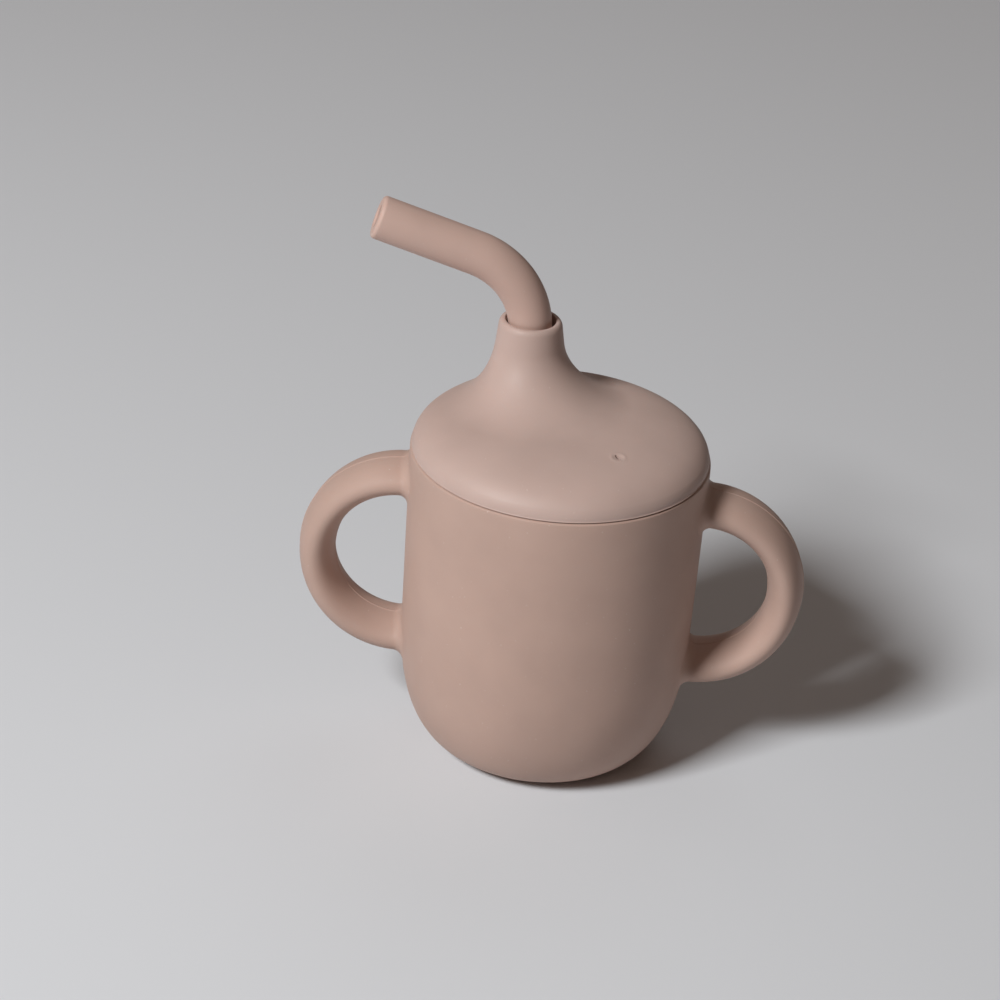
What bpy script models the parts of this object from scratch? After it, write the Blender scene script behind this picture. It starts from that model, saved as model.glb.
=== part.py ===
"""Two-handled silicone sippy cup: a cup, a lift-off lid with a spout, and a bent straw.

Frame: metres, +Z up, origin on the cup's axis at the floor it stands on. The two
handles lie along X. The spout stands off-centre towards -X +Y, the lid's air slit is
opposite it, and the straw bends over towards -X.
"""

from math import cos, pi, radians, sin, sqrt, tan

import bmesh
import bpy
from mathutils import Matrix, Vector

MM = 0.001

# Driving dimensions
CUP_RADIUS = 37.5 * MM           # outer radius at the rim
SEAM_Z = 2.225 * CUP_RADIUS      # floor to the middle of the seam under the lid
WALL = 3.0 * MM                  # moulded wall of the cup and its floor
FIT_GAP = 0.3 * MM               # air left between parts that touch
CUP_HEIGHT = SEAM_Z - 0.5 * FIT_GAP
LID_SEAT_Z = SEAM_Z + 0.5 * FIT_GAP

# Cup
WALL_DRAFT = 0.0081              # the wall leans in by this much per unit of depth
CORNER_HEIGHT = 0.957 * CUP_RADIUS
BASE_RADIUS = 0.520 * CUP_RADIUS
CORNER_POWER = 2.55              # superellipse power of the rounded bottom corner
FOOT_STEP_IN = 0.4               # how much of the wall the cavity's flat floor gives up
CUP_EDGE = 0.7 * MM              # rounding on both sides of the top edge
SOCKET_DEPTH = 12.0 * MM         # upright stretch inside the rim that takes the plug

# Handles: half an ellipse of centreline, swept by a flattened oval section
HANDLE_MID_Z = 1.320 * CUP_RADIUS
HANDLE_ROOT_X = 1.015 * CUP_RADIUS
HANDLE_REACH = 0.582 * CUP_RADIUS
HANDLE_RISE = 0.606 * CUP_RADIUS
HANDLE_HALF_THICK = 0.123 * CUP_RADIUS
HANDLE_HALF_WIDE = 0.235 * CUP_RADIUS
HANDLE_ROOT_DEPTH = 2.2 * MM     # how far each root runs into the wall

# Lid
LID_RADIUS = 0.9992 * CUP_RADIUS
LID_SHELL = 2.6 * MM
LID_EDGE = 0.6 * MM
DOME_RISE = 0.361 * CUP_RADIUS
DOME_SINK = 0.100 * CUP_RADIUS   # the dome's curve starts this far below the seam
DOME_POWER_R = 2.675
DOME_POWER_Z = 3.53
LID_SHOULDER = 0.965 * CUP_RADIUS   # where the lid's rings become centred on the cup
PLUG_RADIUS = CUP_RADIUS - WALL - FIT_GAP
PLUG_DEPTH = 9.0 * MM
PLUG_WALL = 2.4 * MM
PLUG_RELIEF = 0.3 * MM           # the plug's wall lies this far behind its two beads
BEAD_HALF = 1.1 * MM
BEAD_DEPTHS = (2.9 * MM, 6.2 * MM)
CEILING_FILLET = 3.0 * MM        # rounding where the plug meets the lid's underside

# Spout, on its own upright axis. It stands on a wide flare, whose rings move towards the
# cup's axis on the way down: evenly by SPOUT_LEAN, and by a sweep within the flare.
SPOUT_ANGLE = radians(131.2)
SPOUT_OFFSET = 0.4305 * CUP_RADIUS
SPOUT_HEIGHT = 0.526 * CUP_RADIUS
SPOUT_LIP_RADIUS = 0.208 * CUP_RADIUS
SPOUT_TAPER = 0.125              # half-angle of its cone, radians
SPOUT_LEAN = 0.027 * CUP_RADIUS
SPOUT_FILLET = 0.418 * CUP_RADIUS
SPOUT_SWEEP = 0.107 * CUP_RADIUS
MOUTH_RADIUS = 0.169 * CUP_RADIUS
INNER_FILLET = 12.0 * MM         # the same flare on the inside
INNER_SWEEP = 7.0 * MM
GRIP_LENGTH = 2.0 * MM           # the bore's narrowest stretch, which holds the straw
GRIP_FOOT = 5.0 * MM             # the inside is plumb down to this depth under the mouth

# Straw
STRAW_RADIUS = 0.146 * CUP_RADIUS
STRAW_BORE = 2.75 * MM
STRAW_FLOOR_GAP = 4.0 * MM
STRAW_BEND_Z = 109.2 * MM        # where the upright run turns over
STRAW_BEND_RADIUS = 0.574 * CUP_RADIUS
STRAW_ARM_RISE = radians(18.5)   # slope of the drinking end above level
STRAW_ARM = 0.691 * CUP_RADIUS
STRAW_ANGLE = radians(186.2)
STRAW_TIP_EDGE = 0.9 * MM

# Air slit, opposite the spout
VENT_OFFSET = 0.604 * CUP_RADIUS
VENT_ANGLE = radians(-49.7)
VENT_LENGTH = 1.8 * MM
VENT_WIDTH = 0.5 * MM
DIMPLE_SPHERE = 4.2 * MM
DIMPLE_DEPTH = 0.4 * MM

CUTTER_EXCESS = 5.0 * MM         # how far a cutter stands proud of what it cuts

SILICONE_COLOUR = (0.50, 0.36, 0.30)
ROUND_SEGMENTS = 56              # facets round the cup and the lid
CORNER_STEPS = 14
CAVITY_STEPS = 12
HANDLE_STEPS = 22
HANDLE_SIDES = 20
FLARE_STEPS = 12
DOME_STEPS = 6
STRAW_SIDES = 20
STRAW_BEND_STEPS = 12

SPOUT_AXIS = Vector((SPOUT_OFFSET * cos(SPOUT_ANGLE), SPOUT_OFFSET * sin(SPOUT_ANGLE)))
GRIP_RADIUS = STRAW_RADIUS + FIT_GAP


# ---------------------------------------------------------------- helpers

def clear_scene():
    for thing in list(bpy.data.objects):
        bpy.data.objects.remove(thing, do_unlink=True)


def collection_named(name):
    found = bpy.data.collections.get(name) or bpy.data.collections.new(name)
    if name not in bpy.context.scene.collection.children:
        bpy.context.scene.collection.children.link(found)
    return found


def silicone(name, colour):
    material = bpy.data.materials.new(name)
    material.use_nodes = True
    shader = material.node_tree.nodes["Principled BSDF"]
    shader.inputs["Base Color"].default_value = (*colour, 1.0)
    shader.inputs["Roughness"].default_value = 0.55
    shader.inputs["Metallic"].default_value = 0.0
    return material


def add_object(name, mesh, collection):
    thing = bpy.data.objects.new(name, mesh)
    collection.objects.link(thing)
    return thing


def add_cutter(name, mesh, collection):
    thing = add_object(name, mesh, collection)
    thing.hide_render = True
    thing.display_type = "WIRE"
    return thing


def arc(centre, radius, start, end, steps):
    """Points on an arc in the (radius, height) plane; angles in degrees."""
    angles = [radians(start + (end - start) * i / steps) for i in range(steps + 1)]
    return [(centre[0] + radius * cos(a), centre[1] + radius * sin(a)) for a in angles]


def turned(name, profile, collection, steps=ROUND_SEGMENTS):
    """An object whose (radius, height) profile a Screw modifier turns about Z."""
    mesh = bpy.data.meshes.new(name)
    edges = [(i, i + 1) for i in range(len(profile) - 1)]
    mesh.from_pydata([(r, 0.0, z) for r, z in profile], edges, [])
    thing = add_object(name, mesh, collection)
    screw = thing.modifiers.new("turn", "SCREW")
    screw.steps = screw.render_steps = steps
    screw.use_merge_vertices = True
    screw.merge_threshold = 0.00001
    return thing


def join_or_cut(target, other, operation):
    boolean = target.modifiers.new(f"{operation.lower()} {other.name}", "BOOLEAN")
    boolean.operation = operation
    boolean.object = other
    boolean.solver = "EXACT"


def curve_to_mesh(curve_object, name):
    """The curve's evaluated mesh, with its loose caps welded on."""
    bpy.context.view_layer.update()
    evaluated = curve_object.evaluated_get(bpy.context.evaluated_depsgraph_get())
    mesh = bpy.data.meshes.new_from_object(evaluated)
    mesh.name = name
    work = bmesh.new()
    work.from_mesh(mesh)
    bmesh.ops.remove_doubles(work, verts=work.verts, dist=0.000005)
    bmesh.ops.recalc_face_normals(work, faces=work.faces)
    work.to_mesh(mesh)
    work.free()
    return mesh


def shade_round(mesh, crease=35.0):
    mesh.shade_smooth()
    mesh.set_sharp_from_angle(angle=radians(crease))


# ---------------------------------------------------------------- cup

def wall_radius(z, inset=0.0):
    """Outer radius of the cup at a height, less an inset; the corner is a superellipse."""
    if z >= CORNER_HEIGHT:
        return CUP_RADIUS - WALL_DRAFT * (CUP_HEIGHT - z) - inset
    wide = CUP_RADIUS - WALL_DRAFT * (CUP_HEIGHT - CORNER_HEIGHT)
    drop = (CORNER_HEIGHT - z) / (CORNER_HEIGHT - inset)
    across = (1.0 - min(drop, 1.0) ** CORNER_POWER) ** (1.0 / CORNER_POWER)
    foot = BASE_RADIUS - FOOT_STEP_IN * inset
    return foot + (wide - inset - foot) * across


def corner_profile(inset, steps):
    """The rounded bottom corner from the straight wall down to the flat base."""
    wide = wall_radius(CORNER_HEIGHT, inset)
    foot = BASE_RADIUS - FOOT_STEP_IN * inset
    drop = CORNER_HEIGHT - inset
    points = []
    for i in range(1, steps + 1):
        turn = 0.5 * pi * i / steps
        across = max(cos(turn), 0.0) ** (2.0 / CORNER_POWER)
        down = sin(turn) ** (2.0 / CORNER_POWER)
        points.append((foot + (wide - foot) * across, CORNER_HEIGHT - drop * down))
    return points


def cup_outside(collection):
    edge = (CUP_RADIUS - CUP_EDGE, CUP_HEIGHT - CUP_EDGE)
    profile = [(0.0, CUP_HEIGHT)]
    profile += arc(edge, CUP_EDGE, 90, 0, 3)
    profile += [(wall_radius(CORNER_HEIGHT), CORNER_HEIGHT)]
    profile += corner_profile(0.0, CORNER_STEPS)
    profile += [(0.0, 0.0)]
    return turned("cup_body", profile, collection)


def cup_cavity(collection):
    """The cutter for the inside, flared at the top to round the rim's inner edge."""
    inner = CUP_RADIUS - WALL
    above = CUP_HEIGHT + CUTTER_EXCESS
    flare = inner + CUP_EDGE
    profile = [(0.0, above), (flare, above)]
    profile += arc((flare, CUP_HEIGHT - CUP_EDGE), CUP_EDGE, 90, 180, 3)
    profile += [(inner, CUP_HEIGHT - SOCKET_DEPTH)]
    profile += [(wall_radius(CORNER_HEIGHT, WALL), CORNER_HEIGHT)]
    profile += corner_profile(WALL, CAVITY_STEPS)
    profile += [(0.0, WALL)]
    cutter = turned("cup_cavity", profile, collection)
    cutter.hide_render = True
    cutter.display_type = "WIRE"
    return cutter


def handle_section(collection):
    """The oval that is swept along a handle: wide across, thin in the handle's plane."""
    outline = bpy.data.curves.new("handle_section", "CURVE")
    spline = outline.splines.new("POLY")
    spline.points.add(HANDLE_SIDES - 1)
    for i, point in enumerate(spline.points):
        turn = 2.0 * pi * i / HANDLE_SIDES
        point.co = (HANDLE_HALF_WIDE * sin(turn), HANDLE_HALF_THICK * cos(turn), 0.0, 1.0)
    spline.use_cyclic_u = True
    guide = add_object("handle_section", outline, collection)
    guide.hide_render = True
    return guide


def handle_root(z):
    return Vector((wall_radius(z) - HANDLE_ROOT_DEPTH, 0.0, z))


def handle_route():
    """Centreline in the XZ plane, from the upper root round to the lower root."""
    points = [handle_root(HANDLE_MID_Z + HANDLE_RISE)]
    for i in range(HANDLE_STEPS + 1):
        turn = pi * (0.5 - i / HANDLE_STEPS)
        x = HANDLE_ROOT_X + HANDLE_REACH * cos(turn)
        points.append(Vector((x, 0.0, HANDLE_MID_Z + HANDLE_RISE * sin(turn))))
    points.append(handle_root(HANDLE_MID_Z - HANDLE_RISE))
    return points


def handle(side, section, collection):
    """One handle as a closed solid; side is +1 for +X and -1 for -X."""
    path = bpy.data.curves.new("handle_path", "CURVE")
    path.dimensions = "3D"
    path.twist_mode = "MINIMUM"
    spline = path.splines.new("POLY")
    route = handle_route()
    spline.points.add(len(route) - 1)
    for point, place in zip(spline.points, route):
        point.co = (*place, 1.0)
    path.bevel_mode = "OBJECT"
    path.bevel_object = section
    path.use_fill_caps = True
    guide = add_object("handle_path", path, collection)
    guide.rotation_euler.z = 0.0 if side > 0 else pi
    name = "handle_right" if side > 0 else "handle_left"
    mesh = curve_to_mesh(guide, name)
    solid = add_cutter(name, mesh, collection)
    solid.matrix_world = guide.matrix_world
    bpy.data.objects.remove(guide)
    return solid


def build_cup(model, cutters):
    cup = cup_outside(model)
    section = handle_section(cutters)
    for side in (1, -1):
        join_or_cut(cup, handle(side, section, cutters), "UNION")
    bpy.data.objects.remove(section)
    join_or_cut(cup, cup_cavity(cutters), "DIFFERENCE")
    cup.data.materials.append(silicone("cup silicone", SILICONE_COLOUR))
    shade_round(cup.data)
    return cup


# ---------------------------------------------------------------- lid

def dome_height(radius):
    """Height of the plain dome over the seam at a distance from the cup's axis."""
    share = min(radius / LID_RADIUS, 1.0) ** (0.5 * DOME_POWER_R)
    return DOME_RISE * sqrt(max(1.0 - share * share, 0.0)) ** (2.0 / DOME_POWER_Z) - DOME_SINK


def dome_radius(height):
    """The inverse: the dome's radius at a height over the seam."""
    share = ((height + DOME_SINK) / DOME_RISE) ** (0.5 * DOME_POWER_Z)
    return LID_RADIUS * sqrt(1.0 - share * share) ** (2.0 / DOME_POWER_R)


def ring(centre, radius, height_at):
    """A ring of points about a centre; height_at gives z for a point in plan."""
    points = []
    for i in range(ROUND_SEGMENTS):
        turn = 2.0 * pi * i / ROUND_SEGMENTS
        plan = centre + Vector((radius * cos(turn), radius * sin(turn)))
        points.append(Vector((plan.x, plan.y, height_at(plan))))
    return points


def level_ring(radius, z):
    return ring(Vector((0.0, 0.0)), radius, lambda plan: z)


def spout_centre(shift):
    """The spout's axis in plan, moved towards the cup's axis."""
    return SPOUT_AXIS * (1.0 - shift / SPOUT_OFFSET)


def spout_lean(lift, plumb=0.0):
    """The shift at a lift, for a spout that is plumb down to some depth."""
    return SPOUT_LEAN * max(SPOUT_HEIGHT - lift - plumb, 0.0) / SPOUT_HEIGHT


def spout_ring(radius, lift, shift):
    """A ring about the spout. The higher its lift over the dome, the more level it is."""
    share = max(lift, 0.0) / SPOUT_HEIGHT
    at_axis = dome_height(SPOUT_OFFSET)

    def height(plan):
        own = dome_height(plan.length)
        return SEAM_Z + own + share * (at_axis - own) + lift

    return ring(spout_centre(shift), radius, height)


def cone_radius(lift, lip_radius):
    """Radius of the spout's cone at a lift, for the given radius at its top."""
    return lip_radius + (SPOUT_HEIGHT - lift) * tan(SPOUT_TAPER)


def spout_flare(lip_radius, fillet, sweep, plumb, sink):
    """(radius, lift, shift) of the flare's rings from the cone down to the sunk dome."""
    top = fillet * (1.0 - sin(SPOUT_TAPER)) - sink
    centre = cone_radius(top, lip_radius) + fillet * cos(SPOUT_TAPER)
    flare = []
    for i in range(FLARE_STEPS + 1):
        turn = SPOUT_TAPER + (0.5 * pi - SPOUT_TAPER) * i / FLARE_STEPS
        lift = fillet * (1.0 - sin(turn)) - sink
        down = (top - lift) / (top + sink)
        shift = spout_lean(lift, plumb) + sweep * down * down
        flare.append((centre - fillet * cos(turn), lift, shift))
    return flare


def dome_rings(foot, end, shares, sink):
    """Rings on the sunk dome, from the flare's foot to one round the cup's axis."""
    start, _, shift = foot
    return [
        ring(spout_centre(shift) * (1.0 - share), start + (end - start) * share,
             lambda plan: SEAM_Z + dome_height(plan.length) - sink)
        for share in shares
    ]


def lid_outside():
    lip = 0.5 * (SPOUT_LIP_RADIUS - MOUTH_RADIUS)
    lip_centre = (SPOUT_LIP_RADIUS - lip, SPOUT_HEIGHT - lip)
    rings = [spout_ring(r, lift, 0.0) for r, lift in arc(lip_centre, lip, 90, 0, 3)]
    flare = spout_flare(SPOUT_LIP_RADIUS, SPOUT_FILLET, SPOUT_SWEEP, 0.0, 0.0)
    rings += [spout_ring(*place) for place in flare]
    shares = [i / DOME_STEPS for i in range(1, DOME_STEPS + 1)]
    rings += dome_rings(flare[-1], LID_SHOULDER, shares, 0.0)
    edge_z = LID_SEAT_Z + LID_EDGE
    drop = dome_height(LID_SHOULDER) - (edge_z - SEAM_Z)
    for share in (0.2, 0.42, 0.7, 1.0):
        height = dome_height(LID_SHOULDER) - drop * share
        rings.append(level_ring(dome_radius(height), SEAM_Z + height))
    edge_centre = (dome_radius(edge_z - SEAM_Z) - LID_EDGE, edge_z)
    rings += [level_ring(r, z) for r, z in arc(edge_centre, LID_EDGE, 0, -90, 3)[1:]]
    return rings


def plug_rings():
    """The skirt that drops into the cup, with two rounded sealing beads."""
    base = PLUG_RADIUS - PLUG_RELIEF
    outline = [(base, LID_SEAT_Z)]
    for depth in BEAD_DEPTHS:
        for across in (-1.0, -0.5, 0.0, 0.5, 1.0):
            swell = PLUG_RELIEF * sqrt(1.0 - across * across)
            outline.append((base + swell, LID_SEAT_Z - depth - BEAD_HALF * across))
    foot = LID_SEAT_Z - PLUG_DEPTH
    half = 0.5 * PLUG_WALL
    outline += arc((base - half, foot + half), half, 0, -180, 6)
    return [level_ring(r, z) for r, z in outline]


def lid_inside():
    """The hollow under the dome, the inside of the flare and its bore up to the mouth."""
    hollow = PLUG_RADIUS - PLUG_RELIEF - PLUG_WALL - CEILING_FILLET
    ceiling = SEAM_Z + dome_height(hollow) - LID_SHELL
    corner = arc((hollow, ceiling - CEILING_FILLET), CEILING_FILLET, 0, 60, 3)
    rings = [level_ring(r, z) for r, z in corner]
    inner_lip = SPOUT_LIP_RADIUS - LID_SHELL
    flare = spout_flare(inner_lip, INNER_FILLET, INNER_SWEEP, GRIP_FOOT, LID_SHELL)
    rings += dome_rings(flare[-1], hollow, (0.9, 0.65, 0.4, 0.18), LID_SHELL)
    rings += [spout_ring(*place) for place in reversed(flare)]
    grip_lift = SPOUT_HEIGHT - (GRIP_RADIUS - inner_lip) / tan(SPOUT_TAPER)
    lip = 0.5 * (SPOUT_LIP_RADIUS - MOUTH_RADIUS)
    rings.append(spout_ring(GRIP_RADIUS, grip_lift, 0.0))
    rings.append(spout_ring(GRIP_RADIUS, grip_lift + GRIP_LENGTH, 0.0))
    lip_centre = (MOUTH_RADIUS + lip, SPOUT_HEIGHT - lip)
    rings += [spout_ring(r, lift, 0.0) for r, lift in arc(lip_centre, lip, 180, 120, 2)]
    return rings


def loft(name, rings):
    """A closed skin over rings of equal point count; the last ring joins the first."""
    mesh = bpy.data.meshes.new(name)
    work = bmesh.new()
    loops = [[work.verts.new(point) for point in points] for points in rings]
    for upper, lower in zip(loops, loops[1:] + loops[:1]):
        for i in range(ROUND_SEGMENTS):
            j = (i + 1) % ROUND_SEGMENTS
            work.faces.new((upper[i], lower[i], lower[j], upper[j]))
    bmesh.ops.recalc_face_normals(work, faces=work.faces)
    work.to_mesh(mesh)
    work.free()
    return mesh


def vent_cutters(collection):
    """A slit through the dome, and the shallow dimple that it lies in."""
    top = SEAM_Z + dome_height(VENT_OFFSET)
    place = Vector((VENT_OFFSET * cos(VENT_ANGLE), VENT_OFFSET * sin(VENT_ANGLE), top))
    slit = bpy.data.meshes.new("vent_slit")
    work = bmesh.new()
    bmesh.ops.create_cube(work, size=1.0)
    size = Vector((VENT_LENGTH, VENT_WIDTH, 2.0 * CUTTER_EXCESS))
    bmesh.ops.scale(work, vec=size, verts=work.verts)
    work.to_mesh(slit)
    work.free()
    slit_cutter = add_cutter("vent_slit", slit, collection)
    slit_cutter.location = place
    slit_cutter.rotation_euler.z = VENT_ANGLE
    ball = bpy.data.meshes.new("vent_dimple")
    work = bmesh.new()
    bmesh.ops.create_uvsphere(work, u_segments=24, v_segments=16, radius=DIMPLE_SPHERE)
    work.to_mesh(ball)
    work.free()
    dimple_cutter = add_cutter("vent_dimple", ball, collection)
    dimple_cutter.location = place + Vector((0.0, 0.0, DIMPLE_SPHERE - DIMPLE_DEPTH))
    return dimple_cutter, slit_cutter


def build_lid(model, cutters):
    mesh = loft("lid", lid_outside() + plug_rings() + lid_inside())
    origin = Vector((0.0, 0.0, LID_SEAT_Z))
    mesh.transform(Matrix.Translation(-origin))
    lid = add_object("lid", mesh, model)
    lid.location = origin
    for cutter in vent_cutters(cutters):
        join_or_cut(lid, cutter, "DIFFERENCE")
    mesh.materials.append(silicone("lid silicone", SILICONE_COLOUR))
    shade_round(mesh)
    return lid


# ---------------------------------------------------------------- straw

def straw_route():
    """Centreline: upright through the spout, one bend, then the drinking end."""
    out = Vector((cos(STRAW_ANGLE), sin(STRAW_ANGLE), 0.0))
    foot = Vector((*SPOUT_AXIS, WALL + STRAW_FLOOR_GAP))
    bend = Vector((*SPOUT_AXIS, STRAW_BEND_Z))
    points = [foot, foot.lerp(bend, 0.5)]
    for i in range(STRAW_BEND_STEPS + 1):
        turn = (0.5 * pi - STRAW_ARM_RISE) * i / STRAW_BEND_STEPS
        across = STRAW_BEND_RADIUS * (1.0 - cos(turn))
        points.append(bend + out * across + Vector((0.0, 0.0, STRAW_BEND_RADIUS * sin(turn))))
    arm = out * cos(STRAW_ARM_RISE) + Vector((0.0, 0.0, sin(STRAW_ARM_RISE)))
    points.append(points[-1] + arm * STRAW_ARM)
    return points


def build_straw(model):
    path = bpy.data.curves.new("straw_path", "CURVE")
    path.dimensions = "3D"
    path.bevel_depth = STRAW_RADIUS
    path.bevel_resolution = (STRAW_SIDES - 4) // 2
    spline = path.splines.new("POLY")
    route = straw_route()
    spline.points.add(len(route) - 1)
    for point, place in zip(spline.points, route):
        point.co = (*place, 1.0)
    guide = add_object("straw_path", path, model)
    mesh = curve_to_mesh(guide, "straw")
    bpy.data.objects.remove(guide)
    origin = Vector((*SPOUT_AXIS, LID_SEAT_Z))
    mesh.transform(Matrix.Translation(-origin))
    straw = add_object("straw", mesh, model)
    straw.location = origin
    wall = straw.modifiers.new("wall", "SOLIDIFY")
    wall.thickness = STRAW_RADIUS - STRAW_BORE
    wall.offset = -1.0
    wall.use_even_offset = True
    ends = straw.modifiers.new("rounded ends", "BEVEL")
    ends.width = STRAW_TIP_EDGE
    ends.segments = 2
    ends.limit_method = "ANGLE"
    ends.angle_limit = radians(60)
    mesh.materials.append(silicone("straw silicone", SILICONE_COLOUR))
    shade_round(mesh)
    return straw


def main():
    clear_scene()
    model = collection_named("sippy_cup")
    cutters = collection_named("cutters")
    cup = build_cup(model, cutters)
    lid = build_lid(model, cutters)
    straw = build_straw(model)
    lid.parent = cup
    straw.parent = lid
    straw.location -= lid.location


main()
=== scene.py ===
from math import cos, exp, pi, radians, sin, sqrt, tan

import bmesh
import bpy
from mathutils import Matrix, Vector


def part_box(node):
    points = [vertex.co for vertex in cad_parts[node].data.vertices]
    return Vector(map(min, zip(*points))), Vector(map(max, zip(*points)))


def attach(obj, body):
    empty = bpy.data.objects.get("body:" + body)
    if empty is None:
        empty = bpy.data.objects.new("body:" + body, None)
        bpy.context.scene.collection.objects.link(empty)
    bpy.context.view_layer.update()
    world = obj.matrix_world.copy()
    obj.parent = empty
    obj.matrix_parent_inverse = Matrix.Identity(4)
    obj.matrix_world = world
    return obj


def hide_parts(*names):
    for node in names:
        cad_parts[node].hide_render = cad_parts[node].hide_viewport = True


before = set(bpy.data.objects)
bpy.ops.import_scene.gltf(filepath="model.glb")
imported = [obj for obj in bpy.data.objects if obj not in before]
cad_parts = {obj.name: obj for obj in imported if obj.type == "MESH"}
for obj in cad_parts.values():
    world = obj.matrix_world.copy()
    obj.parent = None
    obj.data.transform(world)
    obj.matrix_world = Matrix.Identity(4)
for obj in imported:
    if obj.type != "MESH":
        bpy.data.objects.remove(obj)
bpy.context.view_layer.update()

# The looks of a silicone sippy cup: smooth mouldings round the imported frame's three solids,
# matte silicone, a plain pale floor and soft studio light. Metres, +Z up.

MM = 0.001

# The frame's driving sizes
CUP_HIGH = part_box("cup_body")[1]
LID_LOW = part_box("lid")[0]
STRAW_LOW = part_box("straw")[0]
CUP_RADIUS = CUP_HIGH.y
CUP_TOP = CUP_HIGH.z
FIT_GAP = 0.3 * MM
SEAM_Z = CUP_TOP + 0.5 * FIT_GAP
LID_SEAT_Z = CUP_TOP + FIT_GAP
WALL = 3.0 * MM

# Cup
WALL_DRAFT = 0.0081              # the wall leans in by this much per unit of depth
CORNER_HEIGHT = 0.957 * CUP_RADIUS
BASE_RADIUS = 0.520 * CUP_RADIUS
CORNER_POWER = 2.55              # superellipse power of the rounded bottom corner
FOOT_STEP_IN = 0.4               # how much of the wall the cavity's flat floor gives up
RIM_EDGE = 0.55 * MM             # rounding outside the rim, under the seam
RIM_INNER_EDGE = 0.7 * MM
SOCKET_DEPTH = 12.0 * MM         # upright stretch inside the rim that takes the plug
HUB_RADIUS = 0.3 * MM            # the flat middle of the base and of the floor

# Handles
HANDLE_MID_Z = 1.320 * CUP_RADIUS
HANDLE_ROOT_X = 1.015 * CUP_RADIUS
HANDLE_REACH = 0.5817 * CUP_RADIUS
HANDLE_RISE = 0.606 * CUP_RADIUS
HANDLE_HALF_THICK = 0.123 * CUP_RADIUS
HANDLE_HALF_WIDE = 0.235 * CUP_RADIUS
ROOT_FILLET = 2.4 * MM
ROOT_MEET = radians(78)          # the fillet runs this far round before it meets the wall
ROOT_SINK = 0.25 * MM            # how deep the fillet's skirt dips into the wall
ROOT_DEPTH = 1.3 * MM
PARTING_RISE = 0.16 * MM         # the fine mould line round each handle
PARTING_HALF = 0.15 * MM
PARTING_COLUMNS = (0.12 * MM, 0.24 * MM, 0.40 * MM)
PARTING_ON_WALL = 0.45           # its share of that height on the cup's wall,
PARTING_START = 0.35             # where it fades in from this share of the corner's height

# Lid
LID_RADIUS = 0.9992 * CUP_RADIUS
LID_SHELL = 2.6 * MM
LID_EDGE = 0.12 * MM
LEDGE = 0.22 * MM                # the dome draws in by up to this above its thin lower lip
LEDGE_RISE = 0.12 * MM
LEDGE_FADE = 0.8 * MM
DOME_RISE = 0.361 * CUP_RADIUS
DOME_SINK = 0.100 * CUP_RADIUS   # the dome's curve starts this far below the seam
DOME_POWER_R = 2.675
DOME_POWER_Z = 3.53
LID_SHOULDER = 0.965 * CUP_RADIUS   # where the lid's rings become centred on the cup
PLUG_RADIUS = CUP_RADIUS - WALL - FIT_GAP
PLUG_WALL = 2.4 * MM
PLUG_RELIEF = 0.3 * MM           # the plug's wall lies this far behind its two beads
PLUG_FILLET = 0.4 * MM           # where the plug meets the seat
BEAD_HALF = 1.1 * MM
BEAD_DEPTHS = (2.9 * MM, 6.2 * MM)
CEILING_FILLET = 3.0 * MM        # where the plug meets the lid's underside

# Spout. The rings of its flare move towards the cup's axis on the way down.
SPOUT_ANGLE = radians(131.2)
SPOUT_OFFSET = 0.4305 * CUP_RADIUS
SPOUT_HEIGHT = 0.526 * CUP_RADIUS
SPOUT_LIP_RADIUS = 0.208 * CUP_RADIUS
SPOUT_TAPER = 0.125              # half-angle of its cone, radians
SPOUT_LEAN = 0.027 * CUP_RADIUS
SPOUT_FILLET = 0.418 * CUP_RADIUS
SPOUT_SWEEP = 0.107 * CUP_RADIUS
LIP_ACROSS = 0.9 * MM            # the lip's broad outer rounding
LIP_DROP = 1.5 * MM
MOUTH_RADIUS = 0.169 * CUP_RADIUS
MOUTH_EDGE = 0.25 * MM
INNER_FILLET = 12.0 * MM         # the same flare on the inside
INNER_SWEEP = 7.0 * MM
GRIP_LENGTH = 2.0 * MM           # the bore's narrowest stretch, which holds the straw
GRIP_FOOT = 5.0 * MM             # the inside is plumb down to this depth under the mouth
SPOUT_AXIS = Vector((SPOUT_OFFSET * cos(SPOUT_ANGLE), SPOUT_OFFSET * sin(SPOUT_ANGLE)))

# Air slit
VENT_OFFSET = 0.604 * CUP_RADIUS
VENT_ANGLE = radians(-49.7)
VENT_LENGTH = 2.3 * MM
VENT_WIDTH = 1.0 * MM
DIMPLE_RADIUS = 1.1 * MM
DIMPLE_DEPTH = 0.25 * MM
DIMPLE_REACH = 3.0               # in dimple radii, as is the place of its raised rim
DIMPLE_RIM_AT = 1.5
DIMPLE_RIM_SPREAD = 0.2          # the rim's width, squared
DIMPLE_RIM_SHARE = 0.35          # the rim's height, as a share of the depth

# Straw
STRAW_RADIUS = 0.146 * CUP_RADIUS
STRAW_BORE = 2.75 * MM
STRAW_FOOT_Z = STRAW_LOW.z
STRAW_BEND_Z = 109.14 * MM
STRAW_BEND_RADIUS = 0.574 * CUP_RADIUS
STRAW_ARM_RISE = radians(18.5)   # slope of the drinking end above level
STRAW_ARM = 0.691 * CUP_RADIUS
STRAW_ANGLE = radians(186.2)
STRAW_EDGE = 1.0 * MM            # rounding of its ends, outside
STRAW_BORE_EDGE = 0.4 * MM
GRIP_RADIUS = STRAW_RADIUS + FIT_GAP

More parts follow.
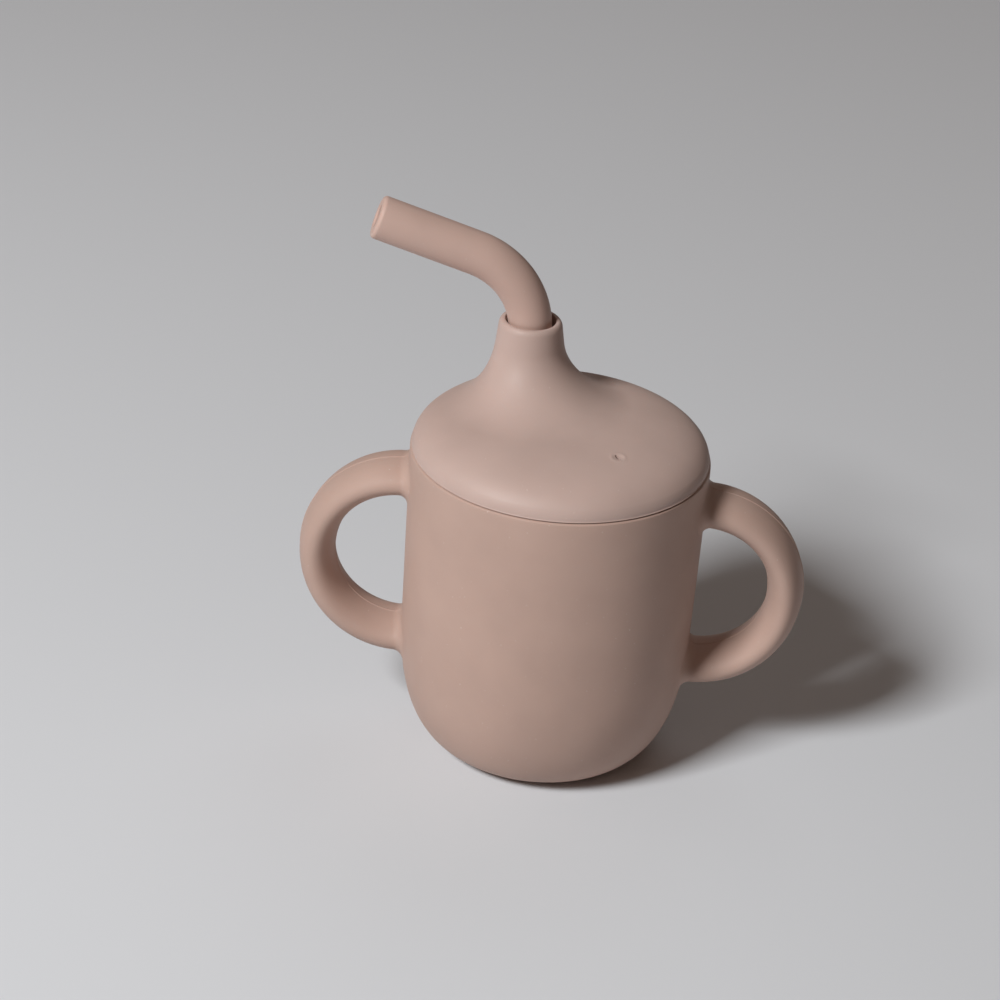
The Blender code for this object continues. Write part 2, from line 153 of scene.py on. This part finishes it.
# Mesh fineness
CUP_COLUMNS = 176
ROOT_STEPS = 26                  # along each straight root of a handle,
NEAR_STEPS = 14                  # the first stretch of its bend,
FAR_STEPS = 26                   # and from there to the bend's outermost point
NEAR_SHARE = 0.13
SECTION_POINTS = 60              # round a handle
ON_WALL = 0.01 * MM              # a ring this near the wall's outside is part of it
LID_COLUMNS = 192
LIP_STEPS = 10
FLARE_STEPS = 40
DOME_STEPS = 16
EDGE_STEPS = 18                  # from the dome's shoulder down to the lid's lip
BEAD_STEPS = 8
INNER_FLARE_STEPS = 20
CEILING_STEPS = 12
REFINED = (1.6, 1.3, 1.0)        # shares of the dimple's reach, each refined once more
SLIT_POINTS = 16
STRAW_COLUMNS = 56
SHANK_STEPS = 20
BEND_STEPS = 30
ARM_STEPS = 12

# Stage
FLOOR_HALF = 4.0
FLOOR_COLOUR = (0.69, 0.715, 0.745, 1.0)
LIGHT_DISTANCE = 1.6
WORLD_COLOUR = (1.0, 0.68, 0.50, 1.0)
WORLD_STRENGTH = 0.08
CAMERA_LENS = 100.8              # millimetres, on a 36 mm sensor
CAMERA_AIM = Vector((-0.376, -0.014, 1.802)) * CUP_RADIUS
CAMERA_DISTANCE = 18.79 * CUP_RADIUS
CAMERA_AZIMUTH = radians(-86.61)
CAMERA_ELEVATION = radians(29.12)
CAMERA_ROLL = radians(4.39)


# ---------------------------------------------------------------- mesh helpers

def arc(centre, radius, start, end, steps):
    """Points on an arc in the (radius, height) plane; angles in degrees."""
    angles = [radians(start + (end - start) * i / steps) for i in range(steps + 1)]
    return [(centre[0] + radius * cos(a), centre[1] + radius * sin(a)) for a in angles]


def line(start, end, steps):
    """Points after start, up to and with end."""
    return [
        (start[0] + (end[0] - start[0]) * i / steps, start[1] + (end[1] - start[1]) * i / steps)
        for i in range(1, steps + 1)
    ]


def add_object(name, mesh):
    thing = bpy.data.objects.new(name, mesh)
    bpy.context.scene.collection.objects.link(thing)
    return thing


def skin(name, loops, ends):
    """A mesh over loops of points. ends is joined (last loop to first) or capped."""
    mesh = bpy.data.meshes.new(name)
    work = bmesh.new()
    rows = [[work.verts.new(point) for point in loop] for loop in loops]
    pairs = list(zip(rows, rows[1:]))
    if ends == "joined":
        pairs.append((rows[-1], rows[0]))
    for upper, lower in pairs:
        for i in range(len(upper)):
            j = (i + 1) % len(upper)
            work.faces.new((upper[i], lower[i], lower[j], upper[j]))
    if ends == "capped":
        for row in (rows[0], rows[-1]):
            middle = sum((v.co for v in row), Vector()) / len(row)
            hub = work.verts.new(middle)
            for i in range(len(row)):
                work.faces.new((row[i], row[(i + 1) % len(row)], hub))
    bmesh.ops.recalc_face_normals(work, faces=work.faces)
    work.to_mesh(mesh)
    work.free()
    return mesh


def shade_round(mesh, crease=40.0):
    mesh.shade_smooth()
    mesh.set_sharp_from_angle(angle=radians(crease))


def apply_modifiers(thing):
    """The object's evaluated mesh becomes its own."""
    bpy.context.view_layer.update()
    evaluated = thing.evaluated_get(bpy.context.evaluated_depsgraph_get())
    mesh = bpy.data.meshes.new_from_object(evaluated)
    thing.modifiers.clear()
    thing.data = mesh


def combine(target, other, operation):
    """Joins or cuts other, which is then removed."""
    boolean = target.modifiers.new(operation.lower(), "BOOLEAN")
    boolean.operation = operation
    boolean.object = other
    boolean.solver = "EXACT"
    apply_modifiers(target)
    bpy.data.objects.remove(other)


# ---------------------------------------------------------------- cup

def wall_radius(z):
    """Outer radius of the cup at a height; the bottom corner is a superellipse."""
    if z >= CORNER_HEIGHT:
        return CUP_RADIUS - WALL_DRAFT * (CUP_TOP - z)
    wide = CUP_RADIUS - WALL_DRAFT * (CUP_TOP - CORNER_HEIGHT)
    drop = min((CORNER_HEIGHT - z) / CORNER_HEIGHT, 1.0)
    across = (1.0 - drop ** CORNER_POWER) ** (1.0 / CORNER_POWER)
    return BASE_RADIUS + (wide - BASE_RADIUS) * across


def corner_profile(inset, steps):
    """The bottom corner, outer or inset, from the straight wall down to the flat floor."""
    wide = wall_radius(CORNER_HEIGHT) - inset
    foot = BASE_RADIUS - FOOT_STEP_IN * inset
    drop = CORNER_HEIGHT - inset
    points = []
    for i in range(1, steps + 1):
        turn = 0.5 * pi * i / steps
        across = max(cos(turn), 0.0) ** (2.0 / CORNER_POWER)
        down = sin(turn) ** (2.0 / CORNER_POWER)
        points.append((foot + (wide - foot) * across, CORNER_HEIGHT - drop * down))
    return points


def cup_profile():
    """From near the axis underneath, up the outside, over the rim and down the inside."""
    outer = wall_radius(CORNER_HEIGHT)
    inner = CUP_RADIUS - WALL
    outside = arc((CUP_RADIUS - RIM_EDGE, CUP_TOP - RIM_EDGE), RIM_EDGE, 90, 0, 6)
    outside += line(outside[-1], (outer, CORNER_HEIGHT), 26)
    outside += corner_profile(0.0, 34)
    outside += line(outside[-1], (HUB_RADIUS, 0.0), 8)
    inner_edge = (inner + RIM_INNER_EDGE, CUP_TOP - RIM_INNER_EDGE)
    inside = arc(inner_edge, RIM_INNER_EDGE, 90, 180, 6)
    inside += line(inside[-1], (inner, CUP_TOP - SOCKET_DEPTH), 4)
    inside += line(inside[-1], (outer - WALL, CORNER_HEIGHT), 14)
    inside += corner_profile(WALL, 26)
    inside += line(inside[-1], (HUB_RADIUS, WALL), 6)
    return outside[::-1] + inside


def parting(across):
    """Height of the fine mould line at a distance across it."""
    return PARTING_RISE * exp(-(across / PARTING_HALF) ** 2)


def cup_columns():
    """Angles round the cup, closer together at the two mould lines."""
    angles = [2.0 * pi * i / CUP_COLUMNS for i in range(CUP_COLUMNS)]
    for middle in (0.0, pi):
        for step in PARTING_COLUMNS:
            angles += [(middle + side * step / CUP_RADIUS) % (2.0 * pi) for side in (1, -1)]
    return sorted(angles)


def cup_wall():
    angles = cup_columns()
    loops = []
    for radius, z in cup_profile():
        on_wall = radius > wall_radius(z) - ON_WALL and z < CUP_TOP - RIM_EDGE
        share = min(max(z / CORNER_HEIGHT - PARTING_START, 0.0), 1.0)
        fade = PARTING_ON_WALL * share if on_wall else 0.0
        loop = []
        for angle in angles:
            grown = radius + fade * parting(radius * sin(angle))
            loop.append(Vector((grown * cos(angle), grown * sin(angle), z)))
        loops.append(loop)
    mesh = skin("cup_shell", loops, "capped")
    return add_object("cup_shell", mesh)


def section_angles():
    """Angles round a handle's oval, closer together at its mould line."""
    angles = [2.0 * pi * i / SECTION_POINTS for i in range(SECTION_POINTS)]
    for middle in (0.0, pi):
        for step in PARTING_COLUMNS:
            turn = step / HANDLE_HALF_WIDE
            angles += [(middle + turn) % (2.0 * pi), (middle - turn) % (2.0 * pi)]
    return sorted(angles)


def handle_stations():
    """(place, outward) along the centreline in the XZ plane, close together at the roots."""
    stations = []
    for side in (1, -1):
        z = HANDLE_MID_Z + side * HANDLE_RISE
        start = wall_radius(z) - ROOT_DEPTH - 2.0 * ROOT_FILLET
        run = [
            (Vector((start + (HANDLE_ROOT_X - start) * i / ROOT_STEPS, 0.0, z)),
             Vector((0.0, 0.0, side)))
            for i in range(ROOT_STEPS)
        ]
        stations.append(run)
    quarter = 0.5 * pi
    far_share = 1.0 - NEAR_SHARE
    near = [quarter * NEAR_SHARE * i / NEAR_STEPS for i in range(NEAR_STEPS)]
    far = [quarter * (NEAR_SHARE + far_share * i / FAR_STEPS) for i in range(FAR_STEPS)]
    turns = near + far + [quarter] + [pi - t for t in (near + far)[::-1]]
    bend = []
    for turn in turns:
        x = HANDLE_ROOT_X + HANDLE_REACH * sin(turn)
        z = HANDLE_MID_Z + HANDLE_RISE * cos(turn)
        outward = Vector((sin(turn) / HANDLE_REACH, 0.0, cos(turn) / HANDLE_RISE)).normalized()
        bend.append((Vector((x, 0.0, z)), outward))
    return stations[0] + bend + stations[1][::-1]


def fillet_offset(gap):
    """How far the root's fillet stands out from the handle at a distance from the wall."""
    meet = ROOT_FILLET * (1.0 - sin(ROOT_MEET))
    if gap >= ROOT_FILLET:
        return 0.0
    if gap > meet:
        reach = ROOT_FILLET - gap
        return ROOT_FILLET - sqrt(ROOT_FILLET ** 2 - reach ** 2)
    at_meet = ROOT_FILLET * (1.0 - cos(ROOT_MEET))
    return at_meet + (meet - max(gap, -ROOT_SINK)) * tan(ROOT_MEET)


def wall_x(y, z):
    return sqrt(max(wall_radius(z) ** 2 - y * y, 0.0))


def handle(side):
    """One handle with filleted roots, as a closed solid; side is +1 for +X."""
    across = Vector((0.0, 1.0, 0.0))
    thick = HANDLE_HALF_THICK - PARTING_RISE
    loops = []
    for place, outward in handle_stations():
        loop = []
        for angle in section_angles():
            y = HANDLE_HALF_WIDE * sin(angle)
            rise = (thick + parting(y)) * cos(angle)
            normal = (outward * (cos(angle) / thick) + across * (sin(angle) / HANDLE_HALF_WIDE))
            normal.normalize()
            point = place + outward * rise + across * y
            gap = point.x - wall_x(point.y, point.z)
            offset = fillet_offset(gap)
            if offset > 0.0:
                point += normal * offset
                gap = max(gap, -ROOT_DEPTH)
                point.x = wall_x(point.y, point.z) + gap
            loop.append(Vector((side * point.x, point.y, point.z)))
        loops.append(loop)
    mesh = skin("handle", loops, "capped")
    return add_object("handle", mesh)


def build_cup():
    cup = cup_wall()
    for side in (1, -1):
        combine(cup, handle(side), "UNION")
    shade_round(cup.data)
    return cup


# ---------------------------------------------------------------- lid

def dome_height(radius):
    """Height of the plain dome over the seam at a distance from the cup's axis."""
    share = min(radius / LID_RADIUS, 1.0) ** (0.5 * DOME_POWER_R)
    return DOME_RISE * sqrt(max(1.0 - share * share, 0.0)) ** (2.0 / DOME_POWER_Z) - DOME_SINK


def dome_radius(height):
    share = ((height + DOME_SINK) / DOME_RISE) ** (0.5 * DOME_POWER_Z)
    return LID_RADIUS * sqrt(1.0 - share * share) ** (2.0 / DOME_POWER_R)


def ring(centre, radius, height_at):
    points = []
    for i in range(LID_COLUMNS):
        turn = 2.0 * pi * i / LID_COLUMNS
        plan = centre + Vector((radius * cos(turn), radius * sin(turn)))
        points.append(Vector((plan.x, plan.y, height_at(plan))))
    return points


def level_ring(radius, z):
    return ring(Vector((0.0, 0.0)), radius, lambda plan: z)


def spout_centre(shift):
    """The spout's axis in plan, moved towards the cup's axis."""
    return SPOUT_AXIS * (1.0 - shift / SPOUT_OFFSET)


def spout_lean(lift, plumb=0.0):
    """The shift at a lift, for a spout that is plumb down to some depth."""
    return SPOUT_LEAN * max(SPOUT_HEIGHT - lift - plumb, 0.0) / SPOUT_HEIGHT


def spout_ring(radius, lift, shift):
    """A ring about the spout. The higher its lift over the dome, the more level it is."""
    share = max(lift, 0.0) / SPOUT_HEIGHT
    at_axis = dome_height(SPOUT_OFFSET)

    def height(plan):
        own = dome_height(plan.length)
        return SEAM_Z + own + share * (at_axis - own) + lift

    return ring(spout_centre(shift), radius, height)


def cone_radius(lift, lip_radius):
    return lip_radius + (SPOUT_HEIGHT - lift) * tan(SPOUT_TAPER)


def spout_flare(lip_radius, fillet, sweep, plumb, sink, steps):
    """(radius, lift, shift) of the flare's rings from the cone down to the sunk dome."""
    top = fillet * (1.0 - sin(SPOUT_TAPER)) - sink
    centre = cone_radius(top, lip_radius) + fillet * cos(SPOUT_TAPER)
    flare = []
    for i in range(steps + 1):
        turn = SPOUT_TAPER + (0.5 * pi - SPOUT_TAPER) * i / steps
        lift = fillet * (1.0 - sin(turn)) - sink
        down = (top - lift) / (top + sink)
        shift = spout_lean(lift, plumb) + sweep * down * down
        flare.append((centre - fillet * cos(turn), lift, shift))
    return flare


def dome_rings(foot, end, shares, sink):
    """Rings on the sunk dome, from the flare's foot to one round the cup's axis."""
    start, _, shift = foot
    return [
        ring(spout_centre(shift) * (1.0 - share), start + (end - start) * share,
             lambda plan: SEAM_Z + dome_height(plan.length) - sink)
        for share in shares
    ]


def spout_lip(steps):
    """(radius, lift) down the lip's broad outer rounding, from its flat top to the cone."""
    points = []
    for i in range(steps + 1):
        turn = 0.5 * pi * (1.0 - i / steps)
        lift = SPOUT_HEIGHT - LIP_DROP * (1.0 - sin(turn))
        inward = LIP_ACROSS * (1.0 - cos(turn))
        points.append((cone_radius(lift, SPOUT_LIP_RADIUS) - inward, lift))
    return points


def lid_outside():
    lip = spout_lip(LIP_STEPS)
    flare = spout_flare(SPOUT_LIP_RADIUS, SPOUT_FILLET, SPOUT_SWEEP, 0.0, 0.0, FLARE_STEPS)
    lip += line(lip[-1], flare[0][:2], 6)[:-1]
    rings = [spout_ring(r, lift, spout_lean(lift)) for r, lift in lip]
    rings += [spout_ring(*place) for place in flare]
    shares = [i / DOME_STEPS for i in range(1, DOME_STEPS + 1)]
    rings += dome_rings(flare[-1], LID_SHOULDER, shares, 0.0)
    edge_z = LID_SEAT_Z + LID_EDGE
    drop = dome_height(LID_SHOULDER) - (edge_z - SEAM_Z)
    for i in range(1, EDGE_STEPS + 1):
        height = dome_height(LID_SHOULDER) - drop * (1.0 - (1.0 - i / EDGE_STEPS) ** 2)
        above = SEAM_Z + height - edge_z
        drawn_in = LEDGE * (1.0 - exp(-above / LEDGE_RISE)) * exp(-above / LEDGE_FADE)
        rings.append(level_ring(dome_radius(height) - drawn_in, SEAM_Z + height))
    edge_centre = (dome_radius(edge_z - SEAM_Z) - LID_EDGE, edge_z)
    rings += [level_ring(r, z) for r, z in arc(edge_centre, LID_EDGE, 0, -90, 6)[1:]]
    return rings


def plug_rings():
    """The skirt that drops into the cup, with two rounded sealing beads."""
    base = PLUG_RADIUS - PLUG_RELIEF
    seat_corner = (base + PLUG_FILLET, LID_SEAT_Z - PLUG_FILLET)
    outline = arc(seat_corner, PLUG_FILLET, 90, 180, 4)
    for depth in BEAD_DEPTHS:
        for i in range(BEAD_STEPS + 1):
            across = -cos(pi * i / BEAD_STEPS)
            swell = PLUG_RELIEF * sqrt(1.0 - across * across)
            outline.append((base + swell, LID_SEAT_Z - depth - BEAD_HALF * across))
    half = 0.5 * PLUG_WALL
    outline += arc((base - half, LID_LOW.z + half), half, 0, -180, 12)
    return [level_ring(r, z) for r, z in outline]


def lid_inside():
    """The hollow under the dome, the inside of the flare and its bore up to the mouth."""
    hollow = PLUG_RADIUS - PLUG_RELIEF - PLUG_WALL - CEILING_FILLET
    ceiling = SEAM_Z + dome_height(hollow) - LID_SHELL
    corner = arc((hollow, ceiling - CEILING_FILLET), CEILING_FILLET, 0, 62, 8)
    rings = [level_ring(r, z) for r, z in corner]
    inner_lip = SPOUT_LIP_RADIUS - LID_SHELL
    flare = spout_flare(
        inner_lip, INNER_FILLET, INNER_SWEEP, GRIP_FOOT, LID_SHELL, INNER_FLARE_STEPS
    )
    shares = [1.0 - i / CEILING_STEPS for i in range(1, CEILING_STEPS)]
    rings += dome_rings(flare[-1], hollow, shares, LID_SHELL)
    rings += [spout_ring(*place) for place in reversed(flare)]
    grip_lift = SPOUT_HEIGHT - (GRIP_RADIUS - inner_lip) / tan(SPOUT_TAPER)
    grip_top = (GRIP_RADIUS, grip_lift + GRIP_LENGTH)
    bore = line(flare[0][:2], (GRIP_RADIUS, grip_lift), 5) + [grip_top]
    bore += line(grip_top, (MOUTH_RADIUS, SPOUT_HEIGHT - MOUTH_EDGE), 4)
    mouth = (MOUTH_RADIUS + MOUTH_EDGE, SPOUT_HEIGHT - MOUTH_EDGE)
    bore += arc(mouth, MOUTH_EDGE, 180, 90, 6)[1:]
    rings += [spout_ring(r, lift, spout_lean(lift, GRIP_FOOT)) for r, lift in bore]
    return rings


def vent_place():
    top = SEAM_Z + dome_height(VENT_OFFSET)
    return Vector((VENT_OFFSET * cos(VENT_ANGLE), VENT_OFFSET * sin(VENT_ANGLE), top))


def sink_dimple(mesh):
    """Refines the dome round the air slit and presses a soft dimple into it."""
    place = vent_place()
    reach = DIMPLE_REACH * DIMPLE_RADIUS
    work = bmesh.new()
    work.from_mesh(mesh)
    for share in REFINED:
        edges = [
            e for e in work.edges
            if all((v.co - place).length < share * reach and v.co.z > LID_SEAT_Z + LID_SHELL
                   for v in e.verts)
        ]
        bmesh.ops.subdivide_edges(work, edges=edges, cuts=1, use_grid_fill=True)
    for vert in work.verts:
        away = (vert.co - place).length / DIMPLE_RADIUS
        if away < DIMPLE_REACH:
            rim = DIMPLE_RIM_SHARE * exp(-(away - DIMPLE_RIM_AT) ** 2 / DIMPLE_RIM_SPREAD)
            vert.co.z += DIMPLE_DEPTH * (rim - exp(-away * away))
    work.to_mesh(mesh)
    work.free()


def vent_slit():
    """A narrow oval cutter for the slit, standing upright through the dome."""
    place = vent_place()
    along = Vector((cos(VENT_ANGLE), sin(VENT_ANGLE), 0.0))
    side = Vector((-along.y, along.x, 0.0))
    outline = []
    for i in range(SLIT_POINTS):
        turn = 2.0 * pi * i / SLIT_POINTS
        lengthwise = along * (0.5 * VENT_LENGTH * cos(turn))
        outline.append(lengthwise + side * (0.5 * VENT_WIDTH * sin(turn)))
    depth = Vector((0.0, 0.0, 2.0 * LID_SHELL))
    loops = [[place + point + end for point in outline] for end in (depth, -depth)]
    return add_object("vent_slit", skin("vent_slit", loops, "capped"))


def build_lid():
    mesh = skin("lid_shell", lid_outside() + plug_rings() + lid_inside(), "joined")
    sink_dimple(mesh)
    lid = add_object("lid_shell", mesh)
    combine(lid, vent_slit(), "DIFFERENCE")
    shade_round(lid.data)
    return lid


# ---------------------------------------------------------------- straw

def straw_route():
    """(place, forward) along the centreline: upright, one bend, the drinking end."""
    out = Vector((cos(STRAW_ANGLE), sin(STRAW_ANGLE), 0.0))
    up = Vector((0.0, 0.0, 1.0))
    foot = Vector((*SPOUT_AXIS, STRAW_FOOT_Z))
    bend = Vector((*SPOUT_AXIS, STRAW_BEND_Z))
    route = [(foot.lerp(bend, i / SHANK_STEPS), up) for i in range(SHANK_STEPS)]
    for i in range(BEND_STEPS + 1):
        turn = (0.5 * pi - STRAW_ARM_RISE) * i / BEND_STEPS
        place = bend + out * (STRAW_BEND_RADIUS * (1.0 - cos(turn)))
        place += up * (STRAW_BEND_RADIUS * sin(turn))
        route.append((place, out * sin(turn) + up * cos(turn)))
    last, arm = route[-1]
    for i in range(1, ARM_STEPS + 1):
        route.append((last + arm * (STRAW_ARM * i / ARM_STEPS), arm))
    return route


def tube_loop(place, forward, radius):
    side = Vector((-sin(STRAW_ANGLE), cos(STRAW_ANGLE), 0.0))
    over = side.cross(forward)
    return [
        place + (over * cos(a) + side * sin(a)) * radius
        for a in (2.0 * pi * i / STRAW_COLUMNS for i in range(STRAW_COLUMNS))
    ]


def tube_end(place, forward, side):
    """Loops over a rounded end, from the outer wall to the bore; side is -1 for the foot."""
    outer = arc((STRAW_RADIUS - STRAW_EDGE, -STRAW_EDGE), STRAW_EDGE, 0, 90, 10)
    inner = arc((STRAW_BORE + STRAW_BORE_EDGE, -STRAW_BORE_EDGE), STRAW_BORE_EDGE, 90, 180, 6)
    return [tube_loop(place + forward * side * out, forward, r) for r, out in outer + inner]


def build_straw():
    route = straw_route()
    middle = route[1:-1]
    loops = [tube_loop(place, forward, STRAW_RADIUS) for place, forward in middle]
    loops += tube_end(*route[-1], 1.0)
    loops += [tube_loop(place, forward, STRAW_BORE) for place, forward in reversed(middle)]
    loops += tube_end(*route[0], -1.0)[::-1]
    straw = add_object("straw_tube", skin("straw_tube", loops, "joined"))
    shade_round(straw.data)
    return straw


# ---------------------------------------------------------------- materials

def silicone(name, colour, specular, seed):
    """Matte soft-touch silicone: faint mottling, satin patches, a fine moulded grain, dust."""
    material = bpy.data.materials.new(name)
    material.use_nodes = True
    nodes, links = material.node_tree.nodes, material.node_tree.links
    shader = nodes["Principled BSDF"]
    shader.inputs["IOR"].default_value = 1.41
    shader.inputs["Subsurface Weight"].default_value = 0.12
    shader.inputs["Subsurface Radius"].default_value = (1.0, 0.55, 0.4)
    shader.inputs["Subsurface Scale"].default_value = 0.6 * MM
    shader.inputs["Specular IOR Level"].default_value = specular
    shader.inputs["Sheen Weight"].default_value = 0.02
    shader.inputs["Sheen Roughness"].default_value = 0.45
    place = nodes.new("ShaderNodeTexCoord")
    shift = nodes.new("ShaderNodeMapping")
    shift.inputs["Location"].default_value = (0.13 * seed, 0.07 * seed, 0.05 * seed)
    links.new(place.outputs["Object"], shift.inputs["Vector"])

    def noise(scale, detail, roughness=0.5):
        node = nodes.new("ShaderNodeTexNoise")
        node.inputs["Scale"].default_value = scale
        node.inputs["Detail"].default_value = detail
        node.inputs["Roughness"].default_value = roughness
        links.new(shift.outputs["Vector"], node.inputs["Vector"])
        return node.outputs["Fac"]

    def spread(value, low, high, to_low, to_high):
        node = nodes.new("ShaderNodeMapRange")
        node.inputs["From Min"].default_value = low
        node.inputs["From Max"].default_value = high
        node.inputs["To Min"].default_value = to_low
        node.inputs["To Max"].default_value = to_high
        links.new(value, node.inputs["Value"])
        return node.outputs["Result"]

    def mixed(share, first, second):
        node = nodes.new("ShaderNodeMix")
        node.data_type = "RGBA"
        links.new(share, node.inputs["Factor"])
        for socket, value in ((node.inputs["A"], first), (node.inputs["B"], second)):
            if isinstance(value, tuple):
                socket.default_value = (*value, 1.0)
            else:
                links.new(value, socket)
        return node.outputs["Result"]

    darker = tuple(0.955 * c for c in colour)
    lighter = tuple(min(1.035 * c, 1.0) for c in colour)
    mottle = spread(noise(46.0, 3.0), 0.35, 0.65, 0.0, 1.0)
    tinted = mixed(mottle, darker, lighter)
    dust = spread(noise(2600.0, 0.0), 0.845, 0.90, 0.0, 0.55)
    links.new(mixed(dust, tinted, (0.75, 0.72, 0.69)), shader.inputs["Base Color"])
    links.new(spread(noise(70.0, 4.0), 0.3, 0.7, 0.50, 0.60), shader.inputs["Roughness"])

    grain = nodes.new("ShaderNodeBump")
    grain.inputs["Strength"].default_value = 0.25
    grain.inputs["Distance"].default_value = 0.02 * MM
    links.new(noise(5200.0, 2.0), grain.inputs["Height"])
    wave = nodes.new("ShaderNodeBump")
    wave.inputs["Strength"].default_value = 0.25
    wave.inputs["Distance"].default_value = 0.25 * MM
    links.new(noise(90.0, 1.0), wave.inputs["Height"])
    links.new(grain.outputs["Normal"], wave.inputs["Normal"])
    links.new(wave.outputs["Normal"], shader.inputs["Normal"])
    return material


# ---------------------------------------------------------------- stage

def add_floor():
    mesh = bpy.data.meshes.new("floor")
    half = FLOOR_HALF
    corners = [(-half, -half, 0.0), (half, -half, 0.0), (half, half, 0.0), (-half, half, 0.0)]
    mesh.from_pydata(corners, [], [(0, 1, 2, 3)])
    floor = add_object("floor", mesh)
    material = bpy.data.materials.new("floor paper")
    material.use_nodes = True
    shader = material.node_tree.nodes["Principled BSDF"]
    shader.inputs["Base Color"].default_value = FLOOR_COLOUR
    shader.inputs["Roughness"].default_value = 0.9
    mesh.materials.append(material)


def direction(azimuth, elevation):
    return Vector((
        cos(azimuth) * cos(elevation), sin(azimuth) * cos(elevation), sin(elevation)
    ))


def add_light(name, azimuth, elevation, size, power):
    """A square soft box that faces the cup's middle from a direction in degrees."""
    data = bpy.data.lights.new(name, "AREA")
    data.shape = "SQUARE"
    data.size = size
    data.energy = power
    lamp = bpy.data.objects.new(name, data)
    bpy.context.scene.collection.objects.link(lamp)
    middle = Vector((0.0, 0.0, 0.5 * CUP_TOP))
    away = direction(radians(azimuth), radians(elevation))
    lamp.location = middle + away * LIGHT_DISTANCE
    lamp.rotation_euler = (-away).to_track_quat("-Z", "Y").to_euler()


def light_stage():
    add_light("key", azimuth=-132, elevation=43, size=0.38, power=24.3)
    add_light("back", azimuth=75, elevation=50, size=1.0, power=1.9)
    world = bpy.data.worlds.new("studio")
    bpy.context.scene.world = world
    world.use_nodes = True
    background = world.node_tree.nodes["Background"]
    background.inputs["Color"].default_value = WORLD_COLOUR
    background.inputs["Strength"].default_value = WORLD_STRENGTH
    bpy.context.scene.view_settings.view_transform = "Standard"


def add_camera():
    """A long lens from a little above, as the object is seen from the front."""
    data = bpy.data.cameras.new("camera")
    data.lens = CAMERA_LENS
    data.sensor_width = 36.0
    data.clip_end = 20.0
    camera = bpy.data.objects.new("camera", data)
    bpy.context.scene.collection.objects.link(camera)
    away = direction(CAMERA_AZIMUTH, CAMERA_ELEVATION)
    camera.location = CAMERA_AIM + away * CAMERA_DISTANCE
    turn = (-away).to_track_quat("-Z", "Y").to_matrix()
    camera.rotation_euler = (turn @ Matrix.Rotation(CAMERA_ROLL, 3, "Z")).to_euler()
    bpy.context.scene.camera = camera


# ---------------------------------------------------------------- assembly

# The cup's gloss is the lowest, as its wall reflects least of the pale floor.
# All three pieces are one silicone. The lid's and straw's colours are the cup's made lighter:
# painted light for the stronger light that falls on the dome and the straw.
CUP_COLOUR = (0.475, 0.333, 0.279)
LID_LIT_COLOUR = (0.500, 0.371, 0.327)
STRAW_LIT_COLOUR = (0.545, 0.382, 0.325)

add_camera()
add_floor()
light_stage()
for piece, node, body, slot, colour, specular, seed in (
    (build_cup(), "cup_body", "cup", "cup_silicone", CUP_COLOUR, 0.28, 1),
    (build_lid(), "lid", "lid", "lid_silicone", LID_LIT_COLOUR, 0.5, 2),
    (build_straw(), "straw", "straw", "straw_silicone", STRAW_LIT_COLOUR, 0.5, 3),
):
    piece.data.materials.clear()
    piece.data.materials.append(silicone(f"{node} silicone", colour, specular, seed))
    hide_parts(node)
    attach(piece, body)
